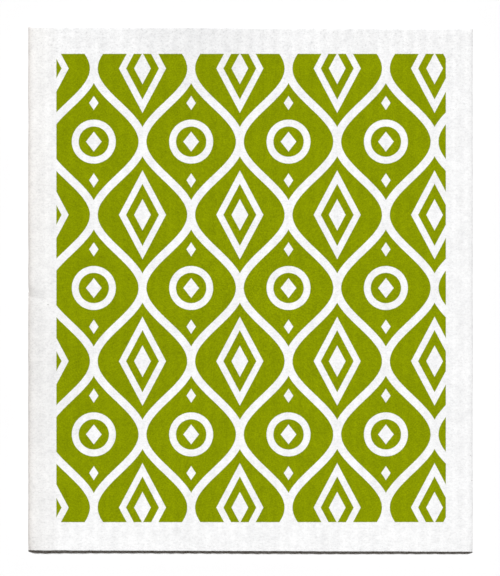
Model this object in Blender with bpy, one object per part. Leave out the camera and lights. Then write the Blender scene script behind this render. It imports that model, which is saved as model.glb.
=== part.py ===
"""Sponge cloth: one cut rectangle of cellulose sponge sheet, dry and flat, printed on its upper face.

All lengths are metres. The origin is at the middle of the underside, +X runs across the cloth,
+Y up its length and +Z out of the printed face.
"""

import math

import bmesh
import bpy
import numpy as np
from mathutils import Matrix, Vector

# The cut sheet, measured dry
CLOTH_WIDTH = 0.170
CLOTH_LENGTH = 0.200
CLOTH_THICKNESS = 0.0020

# The ribs that the embossing rollers press into both faces, along the length of the cloth
RIB_PITCH = 0.00472
RIB_CROWN = 0.0022
FACE_GROOVE_DEPTH = 0.00024
UNDERSIDE_GROOVE_DEPTH = 0.00014

# The dent pinched into the left edge: its place up that edge, its direction and its tapering hollow
DENT_FROM_BOTTOM = 0.1005
DENT_TURN = math.radians(-34)
DENT_LENGTH = 0.0070
DENT_HALF_WIDTH = 0.0013
DENT_DEPTH = 0.00045
DENT_SIDES = 16

# The bare margins round the printed field
MARGIN_LEFT = 0.0108
MARGIN_RIGHT = 0.0102
MARGIN_TOP = 0.0099
MARGIN_BOTTOM = 0.0109

# The print: a half-drop lattice of onion-shaped cells, each drawn by the lines that stay bare
CELL_WIDTH = 0.03725
CELL_HEIGHT = 0.0560
BARE_LINE = 0.0030
CELL_STEPS = 13
LATTICE_SHIFT = 0.005

# The bare ring in every other column of cells, with a diamond inside and one above and below
RING_OUTER_RADIUS = 0.0084
RING_INNER_RADIUS = 0.0058
RING_SIDES = 20
RING_CORE = (0.0030, 0.0038)
RING_SATELLITE = (0.0018, 0.0027)
RING_SATELLITE_OFFSET = 0.0148

# The nested diamonds in the columns between, as half sizes across and along
OUTER_DIAMOND = (0.0090, 0.0170)
MIDDLE_DIAMOND = (0.0063, 0.0119)
INNER_DIAMOND = (0.0032, 0.0060)

# How far the print's outlines cut below and above the ribbed face
OUTLINE_REACH = 0.0005

BARE_COLOUR = (0.913, 0.913, 0.905, 1)
INK_COLOUR = (0.246, 0.312, 0.0012, 1)
CLOTH_ROUGHNESS = 0.95
SHARP_ANGLE = math.radians(30)

SLOTS = ("bare_cloth", "green_ink", "outline_walls")


def clear_scene():
    for obj in list(bpy.data.objects):
        bpy.data.objects.remove(obj, do_unlink=True)


def new_collection(name):
    collection = bpy.data.collections.new(name)
    bpy.context.scene.collection.children.link(collection)
    return collection


def new_material(name, colour):
    material = bpy.data.materials.new(name)
    material.use_nodes = True
    shader = material.node_tree.nodes["Principled BSDF"]
    shader.inputs["Base Color"].default_value = colour
    shader.inputs["Roughness"].default_value = CLOTH_ROUGHNESS
    shader.inputs["Metallic"].default_value = 0
    material.diffuse_color = colour
    return material


def walls_of(name, outlines, depth, collection):
    """A flat curve object of closed outlines, extruded into walls of the given depth about its plane."""
    curve = bpy.data.curves.new(name, "CURVE")
    curve.dimensions = "2D"
    curve.fill_mode = "NONE"
    curve.extrude = depth / 2
    for outline in outlines:
        spline = curve.splines.new("POLY")
        spline.points.add(len(outline) - 1)
        for point, (x, y) in zip(spline.points, outline):
            point.co = (x, y, 0, 1)
        spline.use_cyclic_u = True
    obj = bpy.data.objects.new(name, curve)
    collection.objects.link(obj)
    return obj


def mesh_from_curve(obj):
    """The curve's evaluated mesh in world space. The curve is removed."""
    bpy.context.view_layer.update()
    evaluated = obj.evaluated_get(bpy.context.evaluated_depsgraph_get())
    mesh = bpy.data.meshes.new_from_object(evaluated)
    mesh.transform(obj.matrix_world)
    bpy.data.objects.remove(obj, do_unlink=True)
    return mesh


def rib_line(groove_depth):
    """Places across the cloth and depths below the crowns: flat crowns with a groove on each side."""
    count = max(1, round(CLOTH_WIDTH / RIB_PITCH))
    pitch = CLOTH_WIDTH / count
    line = [(-CLOTH_WIDTH / 2, groove_depth)]
    for rib in range(count):
        middle = (rib + 0.5) * pitch - CLOTH_WIDTH / 2
        line.append((middle - RIB_CROWN / 2, 0))
        line.append((middle + RIB_CROWN / 2, 0))
        line.append((middle + pitch / 2, groove_depth))
    return line


def ribbed_sheet(collection):
    """The sheet's cross-section, ribbed above and below, drawn along its length and closed by its cut ends."""
    face = [(x, CLOTH_THICKNESS - depth) for x, depth in rib_line(FACE_GROOVE_DEPTH)]
    underside = rib_line(UNDERSIDE_GROOVE_DEPTH)
    section = walls_of("section", [underside + face[::-1]], CLOTH_LENGTH, collection)
    section.rotation_euler = (math.pi / 2, 0, 0)
    mesh = mesh_from_curve(section)
    sheet = bmesh.new()
    sheet.from_mesh(mesh)
    bmesh.ops.holes_fill(sheet, edges=sheet.edges)
    bmesh.ops.recalc_face_normals(sheet, faces=sheet.faces)
    sheet.to_mesh(mesh)
    sheet.free()
    return mesh


def field_corners():
    """The printed field's rectangle: left, right, bottom and top."""
    return (
        MARGIN_LEFT - CLOTH_WIDTH / 2,
        CLOTH_WIDTH / 2 - MARGIN_RIGHT,
        MARGIN_BOTTOM - CLOTH_LENGTH / 2,
        CLOTH_LENGTH / 2 - MARGIN_TOP,
    )


def wave():
    """The sway of the wavy lines to each side, and their steepest slope across the cloth."""
    sway = CELL_WIDTH / 4
    return sway, sway * 2 * math.pi / CELL_HEIGHT


def cell_half_width(y):
    """Half the width of a cell at a height above its middle, between two wavy lines of one width."""
    sway, steepest = wave()
    turn = 2 * math.pi * y / CELL_HEIGHT
    return sway * (1 + math.cos(turn)) - BARE_LINE / 2 * math.hypot(1, steepest * math.sin(turn))


def cell_tip():
    """The height above a cell's middle where its half width comes to nothing.

    There the cosine of the turn solves a * cos^2 + 2 * b * cos + c = 0.
    """
    sway, steepest = wave()
    half_line = BARE_LINE / 2
    a = sway**2 + (half_line * steepest) ** 2
    b = sway**2
    c = sway**2 - half_line**2 * (1 + steepest**2)
    return CELL_HEIGHT / (2 * math.pi) * math.acos((math.sqrt(b**2 - a * c) - b) / a)


def cell_outline():
    tip = cell_tip()
    heights = [tip * (1 - 2 * step / CELL_STEPS) for step in range(1, CELL_STEPS)]
    left = [(-cell_half_width(y), y) for y in heights]
    right = [(cell_half_width(y), y) for y in reversed(heights)]
    return [(0, tip)] + left + [(0, -tip)] + right


def ring_outline(radius):
    turns = [2 * math.pi * (side + 0.5) / RING_SIDES for side in range(RING_SIDES)]
    return [(radius * math.cos(turn), radius * math.sin(turn)) for turn in turns]


def diamond_outline(half_size, y=0):
    across, along = half_size
    return [(across, y), (0, y + along), (-across, y), (0, y - along)]


def ring_motif():
    return [
        cell_outline(),
        ring_outline(RING_OUTER_RADIUS),
        ring_outline(RING_INNER_RADIUS),
        diamond_outline(RING_CORE),
        diamond_outline(RING_SATELLITE, RING_SATELLITE_OFFSET),
        diamond_outline(RING_SATELLITE, -RING_SATELLITE_OFFSET),
    ]


def diamond_motif():
    return [
        cell_outline(),
        diamond_outline(OUTER_DIAMOND),
        diamond_outline(MIDDLE_DIAMOND),
        diamond_outline(INNER_DIAMOND),
    ]


def print_outlines():
    """Every closed outline of the lattice that reaches the field. Each crossing changes ink to bare."""
    left, right, bottom, top = field_corners()
    middle_x = (left + right) / 2 + LATTICE_SHIFT
    middle_y = (bottom + top) / 2
    motifs = (ring_motif(), diamond_motif())
    columns = math.ceil((right - left) / CELL_WIDTH) + 1
    rows = math.ceil((top - bottom) / CELL_HEIGHT / 2) + 1
    outlines = []
    for column in range(-columns, columns):
        x = middle_x + (column + 0.5) * CELL_WIDTH / 2
        drop = (column % 2) / 2
        for row in range(-rows, rows):
            y = middle_y + (row + drop) * CELL_HEIGHT
            for outline in motifs[column % 2]:
                points = np.array(outline) + (x, y)
                reaches_x = points[:, 0].max() > left and points[:, 0].min() < right
                reaches_y = points[:, 1].max() > bottom and points[:, 1].min() < top
                if reaches_x and reaches_y:
                    outlines.append(points)
    return outlines


def inside_count(point, outlines):
    """How many of the outlines hold the point."""
    x, y = point
    count = 0
    for outline in outlines:
        start = outline
        end = np.roll(outline, -1, axis=0)
        spans = (start[:, 1] > y) != (end[:, 1] > y)
        a = start[spans]
        b = end[spans]
        crossing = a[:, 0] + (y - a[:, 1]) * (b[:, 0] - a[:, 0]) / (b[:, 1] - a[:, 1])
        count += np.count_nonzero(crossing > x) % 2
    return count


def cut_outlines(cloth, outlines, collection):
    """Cuts the outlines into the ribbed face as edges, with walls that are then taken away."""
    left, right, bottom, top = field_corners()
    field = [(left, bottom), (right, bottom), (right, top), (left, top)]
    walls = walls_of("outlines", outlines + [field], 2 * OUTLINE_REACH, collection)
    walls.location.z = CLOTH_THICKNESS - FACE_GROOVE_DEPTH / 2
    wall_mesh = mesh_from_curve(walls)

    both = bmesh.new()
    both.from_mesh(cloth.data)
    for face in both.faces:
        face.material_index = SLOTS.index("bare_cloth")
        face.select_set(False)
    own_faces = len(both.faces)
    both.from_mesh(wall_mesh)
    both.faces.ensure_lookup_table()
    for face in both.faces[own_faces:]:
        face.material_index = SLOTS.index("outline_walls")
        face.select_set(True)
    both.to_mesh(cloth.data)
    both.free()

    bpy.context.view_layer.objects.active = cloth
    bpy.ops.object.mode_set(mode="EDIT")
    bpy.ops.mesh.intersect(mode="SELECT_UNSELECT", separate_mode="NONE", solver="EXACT")
    bpy.ops.object.mode_set(mode="OBJECT")

    cut = bmesh.new()
    cut.from_mesh(cloth.data)
    walls = [face for face in cut.faces if face.material_index == SLOTS.index("outline_walls")]
    bmesh.ops.delete(cut, geom=walls, context="FACES")
    cut.to_mesh(cloth.data)
    cut.free()


def ink_faces(cloth, outlines):
    """Gives the ink to each piece of the face that lies in the field and in an odd number of outlines."""
    left, right, bottom, top = field_corners()
    cloth.data.calc_loop_triangles()
    largest = {}
    for triangle in cloth.data.loop_triangles:
        kept = largest.get(triangle.polygon_index)
        if kept is None or triangle.area > kept.area:
            largest[triangle.polygon_index] = triangle
    for index, triangle in largest.items():
        middle = sum((cloth.data.vertices[i].co for i in triangle.vertices), Vector()) / 3
        in_field = left < middle.x < right and bottom < middle.y < top
        on_face = middle.z > CLOTH_THICKNESS / 2
        if in_field and on_face and inside_count(middle.xy, outlines) % 2:
            cloth.data.polygons[index].material_index = SLOTS.index("green_ink")


def dent_cutter(collection):
    """A flattened cone on its side, level with the crowns, that tapers from outside the edge to its tip."""
    shape = bmesh.new()
    bmesh.ops.create_cone(
        shape,
        cap_ends=True,
        segments=DENT_SIDES,
        radius1=2 * DENT_HALF_WIDTH,
        radius2=0,
        depth=2 * DENT_LENGTH,
    )
    flatten = Matrix.Diagonal((1, 1, DENT_DEPTH / DENT_HALF_WIDTH, 1))
    lie_down = Matrix.Rotation(math.pi / 2, 4, "Y")
    bmesh.ops.transform(shape, matrix=flatten @ lie_down, verts=shape.verts)
    mesh = bpy.data.meshes.new("dent_cutter")
    shape.to_mesh(mesh)
    shape.free()
    cutter = bpy.data.objects.new("dent_cutter", mesh)
    cutter.location = (-CLOTH_WIDTH / 2, DENT_FROM_BOTTOM - CLOTH_LENGTH / 2, CLOTH_THICKNESS)
    cutter.rotation_euler = (0, 0, DENT_TURN)
    cutter.hide_render = True
    cutter.display_type = "WIRE"
    collection.objects.link(cutter)
    return cutter


def build():
    clear_scene()
    parts = new_collection("sponge_cloth")
    cutters = new_collection("cutters")

    sheet = ribbed_sheet(cutters)
    cloth = bpy.data.objects.new("sponge_cloth", sheet)
    cloth.data.name = "sponge_cloth"
    parts.objects.link(cloth)
    cloth.data.materials.clear()
    cloth.data.materials.append(new_material("bare_cloth", BARE_COLOUR))
    cloth.data.materials.append(new_material("green_ink", INK_COLOUR))

    outlines = print_outlines()
    cut_outlines(cloth, outlines, cutters)
    ink_faces(cloth, outlines)
    cloth.data.shade_smooth()
    cloth.data.set_sharp_from_angle(angle=SHARP_ANGLE)

    dent = cloth.modifiers.new("edge_dent", "BOOLEAN")
    dent.operation = "DIFFERENCE"
    dent.solver = "EXACT"
    dent.object = dent_cutter(cutters)


build()
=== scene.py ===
"""Sponge cloth: one dry, ribbed sheet with a printed face, laid flat on a pale studio floor."""
import math

import bpy
import numpy as np
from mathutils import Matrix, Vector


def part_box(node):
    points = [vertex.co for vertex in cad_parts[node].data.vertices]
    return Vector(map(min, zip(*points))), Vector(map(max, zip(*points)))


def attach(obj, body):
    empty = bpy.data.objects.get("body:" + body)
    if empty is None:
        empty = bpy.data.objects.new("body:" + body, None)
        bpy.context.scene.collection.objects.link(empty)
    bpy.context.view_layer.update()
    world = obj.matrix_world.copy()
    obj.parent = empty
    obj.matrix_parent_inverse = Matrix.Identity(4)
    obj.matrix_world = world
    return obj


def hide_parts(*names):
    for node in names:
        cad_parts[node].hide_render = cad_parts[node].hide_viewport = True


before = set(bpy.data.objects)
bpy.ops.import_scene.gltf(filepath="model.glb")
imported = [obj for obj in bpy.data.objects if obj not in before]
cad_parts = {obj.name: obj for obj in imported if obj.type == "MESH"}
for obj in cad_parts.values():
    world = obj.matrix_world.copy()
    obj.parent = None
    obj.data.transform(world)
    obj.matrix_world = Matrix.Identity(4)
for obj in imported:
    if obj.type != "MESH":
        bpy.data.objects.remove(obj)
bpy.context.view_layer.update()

MM = 0.001
FULL_TURN = 2 * math.pi

# The cut sheet, as the model has it
(LEFT, BOTTOM, REST), (RIGHT, TOP, CROWN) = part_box("sponge_cloth")
WIDTH = RIGHT - LEFT
LENGTH = TOP - BOTTOM
THICKNESS = CROWN - REST

# Lines of the mesh: even steps across each rib with more close to the sides, and even rows with more
# close to the ends and across the dent. Rows are measured from the bottom edge, as start, end and step,
# or start, end and count
STEPS_A_RIB = 12
SIDE_LINES = np.array([0.05, 0.14, 0.26]) * MM
END_LINES = np.array([0, 0.05, 0.14, 0.26, 0.55, 1.3]) * MM
ROW_STEP = 3.0 * MM
DENT_ROWS = (93.0 * MM, 104.4 * MM, 0.42 * MM)
FAR_ROWS = (105.0 * MM, 197.0 * MM, 31)

# The cut runs a little out of square: how far the bottom and the top edge fall from left to right, and
# how far three of the edges lie up or to the right of the square sheet's
BOTTOM_FALL = 0.58 * MM
TOP_FALL = 0.74 * MM
BOTTOM_UP = -0.17 * MM
TOP_UP = 0.04 * MM
RIGHT_OUT = 0.12 * MM

# How far the edges wander in long and in short waves, the waves' shortest and longest, the bottom's share
# of it, how far each groove nips the two ends, and how deep inside the sheet all of it fades out
EDGE_WANDER = 0.045 * MM
EDGE_FRAY = 0.014 * MM
LONG_WAVES = (7 * MM, 70 * MM)
SHORT_WAVES = (1.6 * MM, 5 * MM)
BOTTOM_SHARE = 0.7
BOTTOM_NIP = 0.025 * MM
TOP_NIP = 0.04 * MM
EDGE_FADE = 6 * MM

# Ribs along the cloth, with three fine lines to each
RIBS = 36
RIB_PITCH = WIDTH / RIBS
FACE_GROOVE = 0.24 * MM
UNDERSIDE_GROOVE = 0.14 * MM
GROOVE_POWER = 1.4
FINE_LINES = 3
FINE_DEPTH = 0.020 * MM

# The ribs' press: how much it changes along the cloth and over what lengths, and how far from the ends,
# and by what share, it is weaker
PRESS_CHANGE = 0.14
PRESS_WAVES = (18 * MM, 60 * MM)
END_PRESS = (5 * MM, 0.5)

# The rims and corners, pressed down where the sheet was cut: how far in, and how deep at the edge
LEFT_RIM = (2.8 * MM, 0.52 * MM)
RIGHT_RIM = (2.2 * MM, 0.46 * MM)
BOTTOM_RIM = (0.35 * MM, 0.06 * MM)
TOP_RIM = (0.6 * MM, 0.10 * MM)
LEFT_ROUND = (0.95 * MM, 0.27 * MM)
RIGHT_ROUND = (0.6 * MM, 0.24 * MM)
UNDERSIDE_RIM = (0.5 * MM, 0.10 * MM)
THIN_RIGHT = (190 * MM, 0.26 * MM)
LEFT_CORNER = (6.4 * MM, 0.90 * MM)
RIGHT_CORNER = (4.0 * MM, 0.60 * MM)

# The least thickness, and how gently the face comes to it
THINNEST = (0.50 * MM, 0.20 * MM)

# The cut wall between the two rims: how far it swells, how unevenly, over what lengths, in how many bands
WALL_SWELL = 0.035 * MM
WALL_ROUGH = 0.5
WALL_WAVES = (0.9 * MM, 4 * MM)
WALL_BANDS = 4

# How the dry sheet lies: long low waves, each with its length and its start, and one corner off the floor
WAVE_HEIGHT = 0.06 * MM
WAVE_ACROSS = (118 * MM, 3.7)
WAVE_UP = (164 * MM, 1.9)
CORNER_LIFT = 0.30 * MM
CORNER_REACH = 45 * MM

# Lumps in the face, and the underside's share of them, which is raised to stay clear of the floor
LUMP_HEIGHT = 0.022 * MM
LUMP_WAVES = (8 * MM, 26 * MM)
LUMP_COUNT = 20
UNDERSIDE_SHARE = 0.2
LUMP_CLEARANCE = 3 * LUMP_HEIGHT

# The dent pressed into the left edge: a slope that ends in a crease, and how it comes back below the crease
DENT_Y = -2.75 * MM
DENT_TURN = math.radians(-12.5)
DENT_LENGTH = 8.0 * MM
DENT_HEIGHT = 4.4 * MM
DENT_SLOPE = 0.165
DENT_ROUND = 0.8 * MM
DENT_RETURN = (0.40, 1.3 * MM)
DENT_SPREAD = (0.60, 25 * MM)
DENT_NIP = (0.4, 0.8 * MM)
DENT_RUN_OUT = 1.25
DENT_PINCH = (0.16 * MM, 1.2 * MM)

# The printed field and its lattice, in the middle of the bare margins
FIELD_LEFT = LEFT + 10.8 * MM
FIELD_RIGHT = RIGHT - 10.2 * MM
FIELD_TOP = TOP - 9.9 * MM
FIELD_BOTTOM = BOTTOM + 10.9 * MM
CELL_WIDTH = 37.25 * MM
CELL_HEIGHT = 56.0 * MM
BARE_LINE = 3.0 * MM
LATTICE_SHIFT = 5.0 * MM
RING_RADIUS = 7.1 * MM
RING_WIDTH = 2.6 * MM
RING_CORE = (3.0 * MM, 3.8 * MM)
RING_SATELLITE = (1.8 * MM, 2.7 * MM)
SATELLITE_OFFSET = 14.8 * MM
OUTER_DIAMOND = (9.0 * MM, 17.0 * MM)
MIDDLE_DIAMOND = (6.3 * MM, 11.9 * MM)
INNER_DIAMOND = (3.2 * MM, 6.0 * MM)

# How far the ink's edge wanders, the noise that moves it, and half the width from bare to full
INK_WANDER = 0.16 * MM
INK_RAGGED = (0.7 * MM, 2.0, 0.5)
INK_SOFT = 0.07 * MM

# Noises in the cloth: size of lump, detail, roughness
MOTTLE = (3.2 * MM, 4.0, 0.85)
GRAIN = (0.85 * MM, 3.0, 0.8)
DUST = (0.42 * MM, 2.0, 0.6)
FLECK = (0.7 * MM, 2.0, 0.6)
PITS = (1.7 * MM, 3.0, 0.7)
HOLES = (0.30 * MM, 3.0, 0.7)
PATCH = (14 * MM, 1.0, 0.5)
FIBRE = (0.5 * MM, 2.0, 0.6)
CLOUD = (11 * MM, 2.0, 0.7)
BLOTCH = (7 * MM, 3.0, 0.6)

# Where in its noise each of these begins, and where it is full
MOTTLE_SPAN = (0.3, 0.56)
FLECK_SPAN = (0.55, 0.72)
PITS_SPAN = (0.56, 0.74)
PORE_SPAN = (0.10, 0.42)
HOLES_SPAN = (0.38, 0.52)
PATCH_SPAN = (0.42, 0.62)
BLOTCH_SPAN = (0.3, 0.7)

# Size of the scattered pores, stretch of the fibres across the cloth, and pitch of the faint cross lines
PORE_SIZE = 0.62 * MM
FIBRE_STRETCH = (0.25, 1.0, 1.0)
CROSS_PITCH = 1.17 * MM

# How high each texture stands in the bump, in millimetres
RELIEF = (
    ("mottle", 0.055),
    ("grain", 0.058),
    ("pores", 0.040),
    ("fibre", 0.022),
    ("pits", -0.050),
    ("edge_holes", 0.12),
    ("cross", 0.003),
)

# How each texture shades the bare cloth, the ink and both: its low and high value, the light left at each
BARE_SHADES = (
    ("grain", 0.3, 0.56, 0.92, 1.025),
    ("fibre", 0.3, 0.56, 0.955, 1.015),
    ("cloud", 0.3, 0.7, 0.971, 1.029),
)
INK_SHADES = (
    ("mottle", 0.3, 0.7, 0.975, 1.025),
    ("grain", 0.3, 0.7, 0.88, 1.12),
    ("dust", 0.3, 0.7, 0.82, 1.18),
    ("fleck", 0, 1, 1.01, 0.93),
)
# Painted shade in the pores and in the cross lines' hollows, and painted light on their ridges, for bare
# cloth and ink alike
PORE_AND_CROSS_PAINTED_SHADE = (
    ("pores", 0, 1, 0.95, 1.0),
    ("cross", -1, 1, 0.996, 1.004),
)

# Colours, the first three as darkest and palest
WHITE = ((0.817, 0.820, 0.825, 1), (0.895, 0.897, 0.898, 1))
OLIVE = ((0.219, 0.2725, 0.0002, 1), (0.2475, 0.3025, 0.0004, 1))
BOARD = ((0.90, 0.90, 0.90, 1), (0.92, 0.92, 0.92, 1))
LINT = (0.30, 0.29, 0.28, 1)

# The ink is a little paler to the right, and grooves and fine lines are a little darker than the crowns,
# painted shade in their hollows
INK_SIDES = (0.984, 1.016)
GROOVE_SHADE = 0.959
FINE_SHADE = 0.0045

# How rough the cloth is by its grain, as the shades above, and how faint its gloss
CLOTH_ROUGHNESS = (0.3, 0.7, 0.86, 1.0)
CLOTH_GLOSS = 0.03

# Painted shade on the cut edge: light left in its pits and between them
EDGE_SHADE = (0.40, 0.80)

# Flecks and pits darken the bare cloth more near the far end and near the left side: where from, where to,
# and the darkening at each. Flecks are darker tone, and pits are painted shade in their hollows. The far
# end's places are up from the middle, the left side's in from the edge. Cloth clear of them has the light
# given last
FLECK_AND_PIT_SHADE_FAR = (55 * MM, 92 * MM, 0.06, 0.16)
FLECK_AND_PIT_SHADE_LEFT = (11 * MM, 0, 0.06, 0.14)
UNMARKED_LIGHT = 1.01

# Tints of the left side: the colour, then how strongly it lies across and up the cloth, each as where from,
# where to and the share at each. Across is in from the left edge, up is from the middle, and even is the same
# at every height. The first is painted shade, warm and growing toward the lower left, the second a faint
# cream tint, and the last two are painted shade along the rolled-down left rim
EVEN = (0, 1, 1.0, 1.0)
LEFT_TINTS_AND_PAINTED_SHADE = (
    ((0.868, 0.856, 0.835, 1), (0, 15 * MM, 1.0, 0.0), (65 * MM, 10 * MM, 0.0, 0.56)),
    ((1.0, 0.990, 0.974, 1), (4 * MM, 13 * MM, 1.0, 0.0), (5 * MM, 35 * MM, 0.35, 1.0)),
    ((0.930, 0.885, 0.850, 1), (0, 3.2 * MM, 0.40, 0.0), EVEN),
    ((0.84, 0.81, 0.79, 1), (0, 1.2 * MM, 0.45, 0.0), EVEN),
)

# Darker patches in the white: place from the middle of the cloth, radius, share of light left. The first
# darkens the far end, the second is painted shade on the lower left side, and the third painted shade in the
# dent
DARK_PATCHES_AND_PAINTED_SHADE = (
    (-22 * MM, 97 * MM, 32 * MM, 0.925),
    (-79 * MM, -30 * MM, 34 * MM, 0.955),
    (-82.2 * MM, -1.0 * MM, 4.0 * MM, 0.95),
)

# Specks of lint: place from the middle of the cloth, radius, and for all of them how far out, as a share of
# the radius, they start to fade, and how strong they are
SPECKS = (
    (84.8 * MM, -73.2 * MM, 0.30 * MM),
    (84.2 * MM, -63.5 * MM, 0.24 * MM),
    (-77.4 * MM, -5.8 * MM, 0.30 * MM),
)
SPECK_CORE = 0.4
SPECK_STRENGTH = 0.7

# Studio: the floor's half width, how far it reaches in under the cloth, and its look; the lamp; and the
# surround, whose strength and whose colour change between two heights of the view
FLOOR_REACH = 4.0
FLOOR_COVER = 3 * MM
FLOOR_CLOUD = (40 * MM, 2.0, 0.5)
FLOOR_ROUGHNESS = 0.9
FLOOR_GLOSS = 0.05
LAMP_STRENGTH = 3.85
LAMP_COLOUR = (1.0, 1.006, 1.018)
LAMP_SOFTNESS = math.radians(10)
LAMP_TILT = math.radians(-33)
SURROUND_STRENGTH = (0.02, 0.14, 0.34, 0.07)
SURROUND_CHANGE = (-0.02, -0.10, 0.0, 1.0)
SURROUND_WARM = (1.0, 0.88, 0.72, 1)
SURROUND_PALE = (2.5, 2.5, 2.48, 1)

# Camera: width of the picture at the cloth's face, height, place and width of the sensor in millimetres
PICTURE_WIDTH = 191.28 * MM
CAMERA_HEIGHT = 1.4
CAMERA_PLACE = (-0.13 * MM, 0.5 * MM)
SENSOR_WIDTH = 36

rng = np.random.default_rng(4)


# Shape of the cloth

def smooth_noise(x, y, shortest, longest, waves=14):
    """Sines of random direction, length and phase, added up and scaled to about -1..1."""
    turn = rng.uniform(0, FULL_TURN, waves)
    length = shortest * (longest / shortest) ** rng.uniform(0, 1, waves)
    phase = rng.uniform(0, FULL_TURN, waves)
    along = x[..., None] * np.cos(turn) + y[..., None] * np.sin(turn)
    return np.sin(FULL_TURN * along / length + phase).sum(axis=-1) / math.sqrt(waves)


def edge_noise(t, shortest, longest, waves=10):
    """Sines of random length and phase along an edge, added up and scaled to about -1..1."""
    length = shortest * (longest / shortest) ** rng.uniform(0, 1, waves)
    phase = rng.uniform(0, FULL_TURN, waves)
    return np.sin(FULL_TURN * t[..., None] / length + phase).sum(axis=-1) / math.sqrt(waves)


def grid_columns():
    """Even steps across each rib, with more lines close to each side for its rim."""
    even = np.linspace(0, WIDTH, RIBS * STEPS_A_RIB + 1)
    right_lines = WIDTH - SIDE_LINES[::-1]
    return np.concatenate([even[:1], SIDE_LINES, even[1:-1], right_lines, even[-1:]]) + LEFT


def grid_rows():
    """Long steps along the ribs, short ones across the dent, and close lines at each end for its rim."""
    near = np.arange(ROW_STEP, DENT_ROWS[0], ROW_STEP)
    across_dent = np.arange(*DENT_ROWS)
    far = np.linspace(*FAR_ROWS)
    return np.concatenate([END_LINES, near, across_dent, far, LENGTH - END_LINES[::-1]]) + BOTTOM


def groove_wave(x):
    """1 in the middle of a groove and 0 in the middle of a crown, by a cosine."""
    return 0.5 + 0.5 * np.cos(FULL_TURN * (x - LEFT) / RIB_PITCH)


def near_edge(inset):
    """1 at an edge and 0 from a few millimetres in, by the square of the share left."""
    return np.clip(1 - inset / EDGE_FADE, 0, 1) ** 2


def cut_outline(x, y):
    """Moves the square grid to the cut outline.

    The top and bottom edges fall evenly from left to right. Each edge also wanders by a sum of long sines
    and a smaller sum of short ones, the ends are nipped in a little at each groove, and the left edge is
    pinched in beside the dent by a bell curve. All but the fall fades out a few millimetres inside the edge.
    """
    share = (x - LEFT) / WIDTH
    up = (y - BOTTOM) / LENGTH
    nip = groove_wave(x)
    wander = [edge_noise(t, *LONG_WAVES) for t in (y, y, x, x)]
    fray = [edge_noise(t, *SHORT_WAVES) for t in (y, y, x, x)]
    left, right, bottom, top = (EDGE_WANDER * a + EDGE_FRAY * b for a, b in zip(wander, fray))

    pinch_depth, pinch_reach = DENT_PINCH
    pinch = pinch_depth * np.exp(-((y - DENT_Y - DENT_HEIGHT / 2) / pinch_reach) ** 2)
    moved_x = x + near_edge(x - LEFT) * (left + pinch) + near_edge(RIGHT - x) * (right + RIGHT_OUT)

    bottom_up = BOTTOM_FALL * (0.5 - share) + BOTTOM_UP
    top_up = TOP_FALL * (0.5 - share) + TOP_UP
    moved_y = y + (1 - up) * bottom_up + up * top_up
    moved_y = moved_y + near_edge(y - BOTTOM) * (BOTTOM_SHARE * bottom + BOTTOM_NIP * nip)
    moved_y = moved_y + near_edge(TOP - y) * (top - TOP_NIP * nip)
    return moved_x, moved_y


def lie(x, y):
    """How far the sheet stands off the floor.

    One shallow wave, its height times one more than a sine across times a sine up, so that it is never below
    nothing, and one raised corner, which comes down by the square of the share of its reach left.
    """
    across_length, across_start = WAVE_ACROSS
    up_length, up_start = WAVE_UP
    across = np.sin(FULL_TURN * x / across_length + across_start)
    up = np.sin(FULL_TURN * y / up_length + up_start)
    away = np.hypot(x - LEFT, y - BOTTOM)
    return WAVE_HEIGHT * (1 + across * up) + CORNER_LIFT * np.clip(1 - away / CORNER_REACH, 0, 1) ** 2


def dent(x, y):
    """Depth of the dent: a slope down to a crease that runs in from the left edge.

    The slope starts at a height above the crease that shrinks by the square of the way along, and its start
    is rounded by a square root. Below the crease the depth comes back by two exponentials, one short and one
    long. It is deeper at the edge itself, by an exponential of the way in, which fades out below the crease
    too. The whole fades out evenly on the way to a little past the crease's end.
    """
    cos, sin = math.cos(DENT_TURN), math.sin(DENT_TURN)
    along = (x - LEFT) * cos + (y - DENT_Y) * sin
    across = -(x - LEFT) * sin + (y - DENT_Y) * cos
    height = DENT_HEIGHT * np.clip(1 - (along / DENT_LENGTH) ** 2, 0, 1)
    run = height - np.maximum(across, 0)
    depth = DENT_SLOPE * (run + np.sqrt(run ** 2 + DENT_ROUND ** 2)) / 2
    below = np.minimum(across, 0)
    back = sum(share * np.exp(below / reach) for share, reach in (DENT_RETURN, DENT_SPREAD))
    nip_share, nip_reach = DENT_NIP
    nip = nip_share * np.exp(-(x - LEFT) / nip_reach) * np.exp(below / DENT_RETURN[1])
    fade = np.clip(DENT_RUN_OUT - along / DENT_LENGTH, 0, 1)
    return depth * fade * (back + nip)


def rim_drop(inset, rim):
    """Drop at a distance in from the edge: the rim's depth times the cube of the share of its reach left."""
    reach, depth = rim
    return depth * np.clip(1 - inset / reach, 0, 1) ** 3


def face_rims(left, right, bottom, top):
    """Drop of the face at distances in from the edges: the rims of the sides and of two corners, added."""
    left_corner = np.hypot(left, bottom)
    right_corner = np.hypot(right, bottom)
    rims = (
        (left, LEFT_RIM),
        (right, RIGHT_RIM),
        (bottom, BOTTOM_RIM),
        (top, TOP_RIM),
        (left, LEFT_ROUND),
        (right, RIGHT_ROUND),
        (right_corner, THIN_RIGHT),
        (left_corner, LEFT_CORNER),
        (right_corner, RIGHT_CORNER),
    )
    return sum(rim_drop(inset, rim) for inset, rim in rims)


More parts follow.
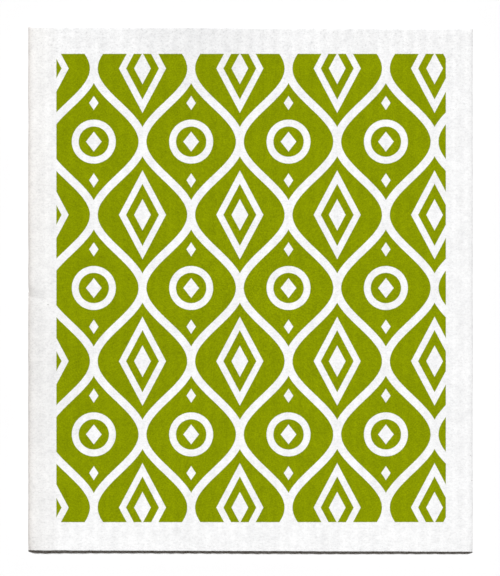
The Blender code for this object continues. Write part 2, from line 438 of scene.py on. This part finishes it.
def cloth_surface():
    """The upper and the lower grid of the sheet.

    Upper height is the thickness less grooves, fine lines, dent and rims, with lumps. A groove is the groove
    wave to a power, its press changes slowly over the cloth and is weaker near the two ends, and a fine line
    is a raised cosine. Lower height is its own shallower groove, a share of the lumps and its rim. The upper
    stays above the lower by a smooth maximum: half the sum of the spare thickness and the root of its square
    and the easing's square. Both stand on the same lie.
    """
    x, y = np.meshgrid(grid_columns(), grid_rows())
    insets = (x - LEFT, RIGHT - x, y - BOTTOM, TOP - y)
    x, y = cut_outline(x, y)

    press_reach, press_loss = END_PRESS
    near_end = np.clip(1 - np.minimum(insets[2], insets[3]) / press_reach, 0, 1)
    press = (1 + PRESS_CHANGE * smooth_noise(x, y, *PRESS_WAVES)) * (1 - press_loss * near_end)
    lumps = LUMP_HEIGHT * smooth_noise(x, y, *LUMP_WAVES, LUMP_COUNT)
    groove = groove_wave(x) ** GROOVE_POWER
    fine = 1 + np.cos(FULL_TURN * FINE_LINES * (x - LEFT) / RIB_PITCH)
    face = THICKNESS - (press * FACE_GROOVE * groove + FINE_DEPTH * fine)
    face = face + lumps - dent(x, y) - face_rims(*insets)
    under = UNDERSIDE_GROOVE * groove + UNDERSIDE_SHARE * (lumps + LUMP_CLEARANCE)
    under = under + rim_drop(np.minimum.reduce(insets), UNDERSIDE_RIM)

    least, ease = THINNEST
    spare = face - under - least
    face = under + least + (spare + np.sqrt(spare ** 2 + ease ** 2)) / 2
    stand = lie(x, y) + REST
    return np.stack([x, y, stand + face], axis=-1), np.stack([x, y, stand + under], axis=-1)


def rim_of(grid):
    """The grid's outer points, once round from the first corner, along the bottom first."""
    return np.concatenate([grid[0, :-1], grid[:-1, -1], grid[-1, :0:-1], grid[:0:-1, 0]])


def grid_faces(number):
    """The quads of a numbered grid, facing up."""
    corners = [number[:-1, :-1], number[:-1, 1:], number[1:, 1:], number[1:, :-1]]
    return np.stack(corners, axis=-1).reshape(-1, 4)


def wall_rings(top_rim, low_rim):
    """Rings of points down the wall: the straight way from rim to rim, swelled outwards by a half sine.

    Edge noise along the rim makes the swell uneven.
    """
    along = np.roll(top_rim, -1, axis=0) - np.roll(top_rim, 1, axis=0)
    outward = np.stack([along[:, 1], -along[:, 0], np.zeros(len(along))], axis=-1)
    outward /= np.linalg.norm(outward, axis=-1)[:, None]
    run = np.cumsum(np.linalg.norm(along, axis=-1)) / 2
    rings = []
    for band in range(1, WALL_BANDS):
        down = band / WALL_BANDS
        uneven = 1 + WALL_ROUGH * edge_noise(run, *WALL_WAVES)
        swell = WALL_SWELL * math.sin(math.pi * down) * uneven
        rings.append(top_rim + (low_rim - top_rim) * down + outward * swell[:, None])
    return rings


def build_cloth():
    """One closed mesh: the upper grid, the lower grid facing down, and the bands of wall between them."""
    upper, lower = cloth_surface()
    rows, columns = upper.shape[:2]
    count = rows * columns
    number = np.arange(count).reshape(rows, columns)
    rings = wall_rings(rim_of(upper), rim_of(lower))
    points = np.concatenate([upper.reshape(-1, 3), lower.reshape(-1, 3)] + rings)

    around = len(rings[0])
    loops = [rim_of(number)]
    loops += [2 * count + around * ring + np.arange(around) for ring in range(len(rings))]
    loops.append(rim_of(number) + count)
    bands = [
        np.stack([high, low, np.roll(low, -1), np.roll(high, -1)], axis=-1)
        for high, low in zip(loops[:-1], loops[1:])
    ]
    faces = np.concatenate([grid_faces(number), grid_faces(number + count)[:, ::-1]] + bands)

    on_wall = np.zeros(len(points), dtype=np.float32)
    on_wall[2 * count:] = 1

    mesh = bpy.data.meshes.new("ribbed_cloth")
    mesh.from_pydata(points.tolist(), [], faces.tolist())
    mesh.attributes.new("cut_edge", "FLOAT", "POINT").data.foreach_set("value", on_wall)
    mesh.shade_smooth()
    mesh.update()
    piece = bpy.data.objects.new("ribbed_cloth", mesh)
    bpy.context.scene.collection.objects.link(piece)
    return piece


# Materials

def colour_sockets(sockets):
    """The sockets of a node that carry a colour."""
    return [socket for socket in sockets if socket.type == "RGBA"]


class Nodes:
    """A material's nodes, with one short call for each kind of sum."""

    def __init__(self, material):
        material.use_nodes = True
        self.tree = material.node_tree
        self.shader = self.tree.nodes["Principled BSDF"]

    def put(self, socket, value):
        if isinstance(value, bpy.types.NodeSocket):
            self.tree.links.new(value, socket)
        else:
            socket.default_value = value

    def math(self, operation, *values):
        node = self.tree.nodes.new("ShaderNodeMath")
        node.operation = operation
        for socket, value in zip(node.inputs, values):
            self.put(socket, value)
        return node.outputs[0]

    def add(self, a, b):
        return self.math("ADD", a, b)

    def less(self, a, b):
        return self.math("SUBTRACT", a, b)

    def times(self, a, b):
        return self.math("MULTIPLY", a, b)

    def lowest(self, first, *rest):
        for value in rest:
            first = self.math("MINIMUM", first, value)
        return first

    def place(self):
        """The point on the piece, in metres, and its three parts."""
        point = self.tree.nodes.new("ShaderNodeTexCoord").outputs["Object"]
        split = self.tree.nodes.new("ShaderNodeSeparateXYZ")
        self.tree.links.new(point, split.inputs[0])
        return point, split.outputs[0], split.outputs[1], split.outputs[2]

    def mark(self, name):
        node = self.tree.nodes.new("ShaderNodeAttribute")
        node.attribute_name = name
        return node.outputs["Fac"]

    def stretched(self, point, scale):
        node = self.tree.nodes.new("ShaderNodeMapping")
        self.tree.links.new(point, node.inputs["Vector"])
        node.inputs["Scale"].default_value = scale
        return node.outputs[0]

    def distance(self, x, y, from_x, from_y):
        """Distance in plan from a place."""
        across = self.less(x, from_x)
        up = self.less(y, from_y)
        return self.math("SQRT", self.add(self.times(across, across), self.times(up, up)))

    def noise(self, point, size, detail, rough):
        """Noise from 0 to 1 with lumps of about the given size in metres."""
        node = self.tree.nodes.new("ShaderNodeTexNoise")
        self.tree.links.new(point, node.inputs["Vector"])
        node.inputs["Scale"].default_value = 1 / size
        node.inputs["Detail"].default_value = detail
        node.inputs["Roughness"].default_value = rough
        return node.outputs["Fac"]

    def pores(self, point, size):
        """Distance to the nearest of many scattered points, in cells of the given size."""
        node = self.tree.nodes.new("ShaderNodeTexVoronoi")
        self.tree.links.new(point, node.inputs["Vector"])
        node.inputs["Scale"].default_value = 1 / size
        return node.outputs["Distance"]

    def ramp(self, value, low, high, out_low=0.0, out_high=1.0):
        """Carries low..high to out_low..out_high and stops at the ends."""
        node = self.tree.nodes.new("ShaderNodeMapRange")
        self.put(node.inputs["Value"], value)
        ends = (("From Min", low), ("From Max", high), ("To Min", out_low), ("To Max", out_high))
        for name, number in ends:
            node.inputs[name].default_value = number
        return node.outputs[0]

    def mix(self, blend, share, first, second):
        node = self.tree.nodes.new("ShaderNodeMix")
        node.data_type = "RGBA"
        node.blend_type = blend
        self.put(node.inputs["Factor"], share)
        for socket, value in zip(colour_sockets(node.inputs), (first, second)):
            self.put(socket, value)
        return colour_sockets(node.outputs)[0]

    def colour(self, share, first, second):
        """The first colour where share is 0 and the second where it is 1."""
        return self.mix("MIX", share, first, second)

    def tint(self, colour, share, shade):
        """The colour where share is 0, and the colour times the shade where it is 1."""
        return self.mix("MULTIPLY", share, colour, shade)

    def dim(self, colour, share):
        """The colour times a share."""
        node = self.tree.nodes.new("ShaderNodeVectorMath")
        node.operation = "SCALE"
        self.put(node.inputs[0], colour)
        self.put(node.inputs["Scale"], share)
        return node.outputs[0]

    def bump(self, height):
        """Height in millimetres, as a bump."""
        node = self.tree.nodes.new("ShaderNodeBump")
        node.inputs["Distance"].default_value = MM
        self.put(node.inputs["Height"], height)
        self.tree.links.new(node.outputs[0], self.shader.inputs["Normal"])


def diamond(n, across, up, half_size):
    """Place across over the half width, added to place up over the half height, less one, in metres."""
    wide, high = half_size
    steep = wide * high / math.hypot(wide, high)
    span = n.add(n.times(across, 1 / wide), n.times(up, 1 / high))
    return n.times(n.less(span, 1.0), steep)


def lattice(n, x, y):
    """Metres to the nearest bare shape of the lattice, and less than nothing inside such a shape.

    Wavy lines: the place across, moved by a quarter cell times the cosine of the place up, folded to its
    distance from the nearest line, over the line's slant, less half the line.
    Ring: distance from the ring's middle line, less half its width.
    """
    sway = CELL_WIDTH / 4
    turn = n.times(y, FULL_TURN / CELL_HEIGHT)
    swing = n.times(n.math("COSINE", turn), sway)
    slope = n.times(n.math("SINE", turn), sway * FULL_TURN / CELL_HEIGHT)
    slant = n.math("SQRT", n.add(n.times(slope, slope), 1.0))
    left_line = n.math("PINGPONG", n.add(x, swing), CELL_WIDTH / 2)
    right_line = n.math("PINGPONG", n.less(n.less(x, swing), CELL_WIDTH / 2), CELL_WIDTH / 2)
    lines = n.less(n.math("DIVIDE", n.lowest(left_line, right_line), slant), BARE_LINE / 2)

    across = n.math("PINGPONG", n.less(x, CELL_WIDTH / 4), CELL_WIDTH / 2)
    up = n.math("PINGPONG", y, CELL_HEIGHT / 2)
    radius = n.math("SQRT", n.add(n.times(across, across), n.times(up, up)))
    ring = n.less(n.math("ABSOLUTE", n.less(radius, RING_RADIUS)), RING_WIDTH / 2)
    core = diamond(n, across, up, RING_CORE)
    satellite = diamond(n, across, n.math("ABSOLUTE", n.less(up, SATELLITE_OFFSET)), RING_SATELLITE)

    across = n.math("PINGPONG", n.less(x, 3 * CELL_WIDTH / 4), CELL_WIDTH / 2)
    up = n.math("PINGPONG", n.less(y, CELL_HEIGHT / 2), CELL_HEIGHT / 2)
    outer = diamond(n, across, up, OUTER_DIAMOND)
    outside_middle = n.times(diamond(n, across, up, MIDDLE_DIAMOND), -1.0)
    diamond_line = n.math("MAXIMUM", outer, outside_middle)
    inner = diamond(n, across, up, INNER_DIAMOND)
    return n.lowest(lines, ring, core, satellite, diamond_line, inner)


def ink_share(n, point, x, y, z):
    """1 in the ink and 0 on bare cloth and on the underside, with an edge that wanders a little."""
    wander = n.times(n.less(n.noise(point, *INK_RAGGED), 0.5), INK_WANDER)
    print_x = n.less(x, (FIELD_LEFT + FIELD_RIGHT) / 2)
    print_y = n.less(y, (FIELD_BOTTOM + FIELD_TOP) / 2)
    shapes = lattice(n, n.less(print_x, LATTICE_SHIFT), print_y)
    side = n.less((FIELD_RIGHT - FIELD_LEFT) / 2, n.math("ABSOLUTE", print_x))
    end = n.less((FIELD_TOP - FIELD_BOTTOM) / 2, n.math("ABSOLUTE", print_y))
    inside = n.add(n.lowest(shapes, side, end), wander)
    soft = n.ramp(inside, -INK_SOFT, INK_SOFT)
    return n.times(soft, n.math("GREATER_THAN", z, THICKNESS / 2))


def cloth_textures(n, point, x, y):
    """The cloth's textures by name, most of them from 0 to 1."""
    cross = n.math("SINE", n.times(y, FULL_TURN / CROSS_PITCH))
    turn = n.times(n.less(x, LEFT), FULL_TURN / RIB_PITCH)
    holes = n.ramp(n.noise(point, *HOLES), *HOLES_SPAN)
    cut_edge = n.mark("cut_edge")
    return {
        "mottle": n.noise(point, *MOTTLE),
        "grain": n.noise(point, *GRAIN),
        "dust": n.noise(point, *DUST),
        "fleck": n.ramp(n.noise(point, *FLECK), *FLECK_SPAN),
        "pits": n.ramp(n.noise(point, *PITS), *PITS_SPAN),
        "pores": n.ramp(n.pores(point, PORE_SIZE), *PORE_SPAN),
        "fibre": n.noise(n.stretched(point, FIBRE_STRETCH), *FIBRE),
        "cloud": n.noise(point, *CLOUD),
        "cross": n.times(cross, n.ramp(n.noise(point, *PATCH), *PATCH_SPAN)),
        "groove": n.add(n.times(n.math("COSINE", turn), 0.5), 0.5),
        "fine": n.math("COSINE", n.times(turn, FINE_LINES)),
        "holes": holes,
        "cut_edge": cut_edge,
        "edge_holes": n.times(holes, cut_edge),
    }


def shaded(n, colour, textures, shades):
    """The colour, dimmed by each texture of a table."""
    for name, low, high, light_low, light_high in shades:
        colour = n.dim(colour, n.ramp(textures[name], low, high, light_low, light_high))
    return colour


def from_left(n, x, start, end, at_start, at_end):
    """A ramp across the cloth, its places measured in from the left edge."""
    return n.ramp(x, LEFT + start, LEFT + end, at_start, at_end)


def bare_cloth(n, textures, x, y):
    """White, mottled and flecked, with painted shade in its pits, darker patches partly painted shade, the
    left side's tints and painted shade, and the specks.
    """
    white = n.colour(n.ramp(textures["mottle"], *MOTTLE_SPAN), *WHITE)
    white = shaded(n, white, textures, BARE_SHADES)
    fleck_and_pit_shade_share = n.math("MAXIMUM", n.ramp(y, *FLECK_AND_PIT_SHADE_FAR), from_left(n, x, *FLECK_AND_PIT_SHADE_LEFT))
    # Flecks darken the tone, and pits are painted shade in their hollows
    for name in ("fleck", "pits"):
        white = n.dim(white, n.less(UNMARKED_LIGHT, n.times(textures[name], fleck_and_pit_shade_share)))
    # Darker patches: two of them are painted shade, on the lower left side and in the dent
    for patch_x, patch_y, radius, light_left in DARK_PATCHES_AND_PAINTED_SHADE:
        away = n.distance(x, y, patch_x, patch_y)
        white = n.dim(white, n.ramp(away, 0, radius, light_left, 1.0))
    # A cream tint and painted shade of the left side: over the lower left and along the rolled-down rim
    for shade, across, up in LEFT_TINTS_AND_PAINTED_SHADE:
        white = n.tint(white, n.times(from_left(n, x, *across), n.ramp(y, *up)), shade)
    for speck_x, speck_y, radius in SPECKS:
        away = n.distance(x, y, speck_x, speck_y)
        strength = n.ramp(away, SPECK_CORE * radius, radius, SPECK_STRENGTH, 0.0)
        white = n.colour(strength, white, LINT)
    return white


def ink_colour(n, textures, point, x):
    """Olive in soft blotches, a little paler to the right, with the cloth's textures showing through."""
    green = n.colour(n.ramp(n.noise(point, *BLOTCH), *BLOTCH_SPAN), *OLIVE)
    green = n.dim(green, n.ramp(x, LEFT, RIGHT, *INK_SIDES))
    return shaded(n, green, textures, INK_SHADES)


def cloth_material():
    """Dry cellulose sponge with cotton: white, mottled, porous and cross-pressed, with flat olive ink, and
    painted shade in its grooves, pores, pits and cut edge.
    """
    material = bpy.data.materials.new("printed_sponge_cloth")
    n = Nodes(material)
    point, x, y, z = n.place()
    textures = cloth_textures(n, point, x, y)

    height = 0.0
    for name, high in RELIEF:
        height = n.add(height, n.times(textures[name], high))
    n.bump(height)

    ink = ink_share(n, point, x, y, z)
    base = n.colour(ink, bare_cloth(n, textures, x, y), ink_colour(n, textures, point, x))
    # Painted shade in the grooves and the fine lines
    grooves = n.ramp(textures["groove"], 0, 1, 1.0, GROOVE_SHADE)
    base = n.dim(base, n.less(grooves, n.times(textures["fine"], FINE_SHADE)))
    # Painted shade in the pores and the cross lines' hollows, painted light on their ridges
    base = shaded(n, base, textures, PORE_AND_CROSS_PAINTED_SHADE)
    # Painted shade over the cut edge, darkest in its pits
    cut_edge_painted_shade = n.less(n.ramp(textures["holes"], 0, 1, *EDGE_SHADE), 1.0)
    base = n.dim(base, n.add(1.0, n.times(cut_edge_painted_shade, textures["cut_edge"])))
    shader = n.shader.inputs
    n.put(shader["Base Color"], base)
    n.put(shader["Roughness"], n.ramp(textures["grain"], *CLOTH_ROUGHNESS))
    shader["Specular IOR Level"].default_value = CLOTH_GLOSS
    return material


def floor_material():
    """Pale matt board, faintly mottled and clear from below, so that the cloth's underside can be seen."""
    material = bpy.data.materials.new("pale_floor")
    n = Nodes(material)
    point = n.place()[0]
    n.put(n.shader.inputs["Base Color"], n.colour(n.noise(point, *FLOOR_CLOUD), *BOARD))
    n.shader.inputs["Roughness"].default_value = FLOOR_ROUGHNESS
    n.shader.inputs["Specular IOR Level"].default_value = FLOOR_GLOSS
    nodes = n.tree.nodes
    clear = nodes.new("ShaderNodeBsdfTransparent")
    either = nodes.new("ShaderNodeMixShader")
    n.tree.links.new(nodes.new("ShaderNodeNewGeometry").outputs["Backfacing"], either.inputs[0])
    n.tree.links.new(n.shader.outputs[0], either.inputs[1])
    n.tree.links.new(clear.outputs[0], either.inputs[2])
    n.tree.links.new(either.outputs[0], nodes["Material Output"].inputs["Surface"])
    return material


# Studio

def build_floor():
    """A wide flat floor, open inside the cloth's outline so that light from below reaches the underside."""
    reach = FLOOR_REACH
    west, east = LEFT + FLOOR_COVER, RIGHT - FLOOR_COVER
    south, north = BOTTOM + FLOOR_COVER, TOP - FLOOR_COVER
    outer = [(-reach, -reach), (reach, -reach), (reach, reach), (-reach, reach)]
    inner = [(west, south), (east, south), (east, north), (west, north)]
    sides = [(side, (side + 1) % 4, (side + 1) % 4 + 4, side + 4) for side in range(4)]
    mesh = bpy.data.meshes.new("studio_floor")
    mesh.from_pydata([(x, y, REST) for x, y in outer + inner], [], sides)
    mesh.materials.append(floor_material())
    floor = bpy.data.objects.new("studio_floor", mesh)
    bpy.context.scene.collection.objects.link(floor)


def build_lamp():
    """One broad lamp above the far end, which throws the shadow along the near edge."""
    lamp = bpy.data.lights.new("key_lamp", "SUN")
    lamp.energy = LAMP_STRENGTH
    lamp.color = LAMP_COLOUR
    lamp.angle = LAMP_SOFTNESS
    key = bpy.data.objects.new("key_lamp", lamp)
    key.rotation_euler = (LAMP_TILT, 0, 0)
    bpy.context.scene.collection.objects.link(key)


def build_surround():
    """A surround that is dim above, warm and stronger low down, and pale below the floor."""
    world = bpy.data.worlds.new("surround")
    bpy.context.scene.world = world
    world.use_nodes = True
    tree = world.node_tree
    way = tree.nodes.new("ShaderNodeTexCoord").outputs["Generated"]
    split = tree.nodes.new("ShaderNodeSeparateXYZ")
    tree.links.new(way, split.inputs[0])

    def by_height(low, high, at_low, at_high):
        ramp = tree.nodes.new("ShaderNodeMapRange")
        ends = (("From Min", low), ("From Max", high), ("To Min", at_low), ("To Max", at_high))
        for name, number in ends:
            ramp.inputs[name].default_value = number
        tree.links.new(split.outputs["Z"], ramp.inputs["Value"])
        return ramp.outputs[0]

    tone = tree.nodes.new("ShaderNodeMix")
    tone.data_type = "RGBA"
    tree.links.new(by_height(*SURROUND_CHANGE), tone.inputs["Factor"])
    for socket, colour in zip(colour_sockets(tone.inputs), (SURROUND_WARM, SURROUND_PALE)):
        socket.default_value = colour
    background = tree.nodes["Background"]
    tree.links.new(colour_sockets(tone.outputs)[0], background.inputs["Color"])
    tree.links.new(by_height(*SURROUND_STRENGTH), background.inputs["Strength"])


def build_camera():
    """Straight above the middle of the picture, with a long lens."""
    camera = bpy.data.cameras.new("camera")
    camera.type = "PERSP"
    camera.sensor_fit = "HORIZONTAL"
    camera.sensor_width = SENSOR_WIDTH
    camera.lens = SENSOR_WIDTH * (CAMERA_HEIGHT - CROWN) / PICTURE_WIDTH
    camera.clip_end = 20
    seat = bpy.data.objects.new("camera", camera)
    seat.location = (*CAMERA_PLACE, CAMERA_HEIGHT)
    bpy.context.scene.collection.objects.link(seat)
    bpy.context.scene.camera = seat


cloth = build_cloth()
cloth.data.materials.append(cloth_material())
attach(cloth, "root")
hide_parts("sponge_cloth")

build_floor()
build_lamp()
build_surround()
build_camera()
bpy.context.scene.view_settings.view_transform = "Standard"
